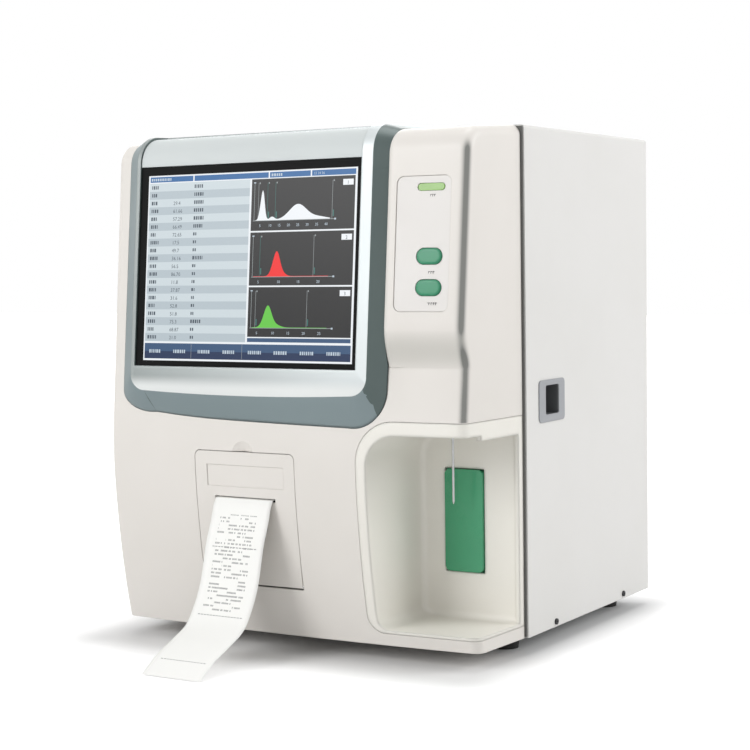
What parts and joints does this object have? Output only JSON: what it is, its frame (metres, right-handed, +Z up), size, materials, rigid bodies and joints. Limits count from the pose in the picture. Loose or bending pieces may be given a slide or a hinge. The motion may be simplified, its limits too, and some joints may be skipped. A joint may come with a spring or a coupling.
{
  "type": "hematology analyzer",
  "caption": "Benchtop blood cell analyzer with a touch screen, open sampling bay with needle, built-in strip printer and steel case.",
  "frame": {"origin": "on the table under the middle of the whole, with the hanging paper", "axes": "+X to the operator's right, +Y to the back, +Z up"},
  "size_m": [0.3694, 0.4691, 0.438],
  "materials": {
    "cover_white": "fine moulded texture",
    "bezel_silver": "silver-grey, satin",
    "visor_grey": "grey-green, satin",
    "screen_frame": "black, fine texture",
    "screen_glass": "lit panel under a matt film",
    "key_plate": "pale grey, satin",
    "lamp_lens": "yellow-green, clear",
    "button_teal": "teal, satin",
    "plate_green": "green, smooth",
    "case_paint": "pale grey powder coat",
    "grip_grey": "grey, satin",
    "dark_plastic": "black, satin",
    "inner_plastic": "grey, plain",
    "plated_steel": "zinc plated",
    "ground_steel": "ground and polished",
    "aluminium": "milled",
    "brass": "turned, nickel worn at the edges",
    "rubber": "matt",
    "board": "green solder mask",
    "paper": "thermal paper, smooth"
  },
  "bodies": {
    "case": {"front_cover": "cover_white", "display_bezel": "bezel_silver", "visor": "visor_grey", "screen_surround": "screen_frame", "screen_panel": "screen_glass", "screen_module": "plated_steel", "key_panel": "key_plate", "lamp_lens": "lamp_lens", "key_board": "board", "sampling_bay": "cover_white", "start_bracket": "plated_steel", "start_switch": "dark_plastic", "probe_frame": "plated_steel", "guide_rods": "ground_steel", "probe_motor": "dark_plastic", "printer_frame": "plated_steel", "print_head": "aluminium", "paper_strip": "paper", "wrap_cover": "case_paint", "case_screws": "dark_plastic", "side_grip_frames": "grip_grey", "side_grip_cups": "dark_plastic", "front_plate": "plated_steel", "base_tray": "plated_steel", "feet": "rubber", "foot_screws": "plated_steel", "rear_panel": "case_paint", "fan_frame": "dark_plastic", "fan_guard": "ground_steel", "fan_screws": "ground_steel", "mains_inlet": "dark_plastic", "switch_frame": "dark_plastic", "data_ports": "plated_steel", "fluid_ports": "inner_plastic", "earth_post": "brass", "rear_screws": "ground_steel", "main_board": "board", "power_supply": "plated_steel"},
    "print_button": {"print_button": "button_teal"},
    "sampling_button": {"sampling_button": "button_teal"},
    "start_plate": {"start_plate": "plate_green"},
    "door": {"printer_door": "cover_white", "door_pins": "ground_steel"},
    "probe": {"probe_carriage": "aluminium", "probe_needle": "ground_steel"},
    "lead_screw": {"lead_screw": "ground_steel"},
    "platen": {"platen_roller": "rubber", "platen_shaft": "ground_steel"},
    "paper_roll": {"paper_roll": "paper", "roll_spindle": "dark_plastic"},
    "fan_rotor": {"fan_rotor": "dark_plastic"},
    "power_rocker": {"power_rocker": "dark_plastic"}
  },
  "joints": [
    {"name": "print_press", "type": "slide", "parent": "case", "child": "print_button", "axis": [0, 0.996, -0.0896], "range_m": [0, 0.0015], "stiffness_N_per_m": 400, "springref_m": -0.002},
    {"name": "sampling_press", "type": "slide", "parent": "case", "child": "sampling_button", "axis": [0, 0.996, -0.0896], "range_m": [0, 0.0015], "stiffness_N_per_m": 400, "springref_m": -0.002},
    {"name": "start_press", "type": "slide", "parent": "case", "child": "start_plate", "axis": [0, 1, 0], "range_m": [0, 0.0025], "stiffness_N_per_m": 400, "springref_m": -0.003},
    {"name": "door_hinge", "type": "hinge", "parent": "case", "child": "door", "pos_m": [-0.0297, -0.11867, 0.0585], "axis": [1, 0, 0], "range_deg": [0, 85], "deforming": ["paper_strip"]},
    {"name": "probe_travel", "type": "slide", "parent": "case", "child": "probe", "axis": [0, 0, 1], "range_m": [0, 0.06]},
    {"name": "screw_turn", "type": "hinge", "parent": "case", "child": "lead_screw", "pos_m": [0.1293, -0.0465, 0.297], "axis": [0, 0, 1], "range_deg": [-1, 1081]},
    {"name": "roll_turn", "type": "hinge", "parent": "case", "child": "paper_roll", "pos_m": [-0.03, -0.0815, 0.096], "axis": [1, 0, 0], "continuous": true},
    {"name": "platen_turn", "type": "hinge", "parent": "case", "child": "platen", "pos_m": [-0.03, -0.111, 0.125], "axis": [1, 0, 0], "continuous": true},
    {"name": "fan_spin", "type": "hinge", "parent": "case", "child": "fan_rotor", "pos_m": [-0.095, 0.2075, 0.34], "axis": [0, 1, 0], "continuous": true},
    {"name": "power_switch", "type": "hinge", "parent": "case", "child": "power_rocker", "pos_m": [0.052, 0.2165, 0.06], "axis": [1, 0, 0], "range_deg": [-12, 0]}
  ],
  "couplings": [
    {"joint": "screw_turn", "follows": "probe_travel", "rad_per_m": 314.16},
    {"joint": "platen_turn", "follows": "roll_turn", "ratio": 4.4}
  ]
}
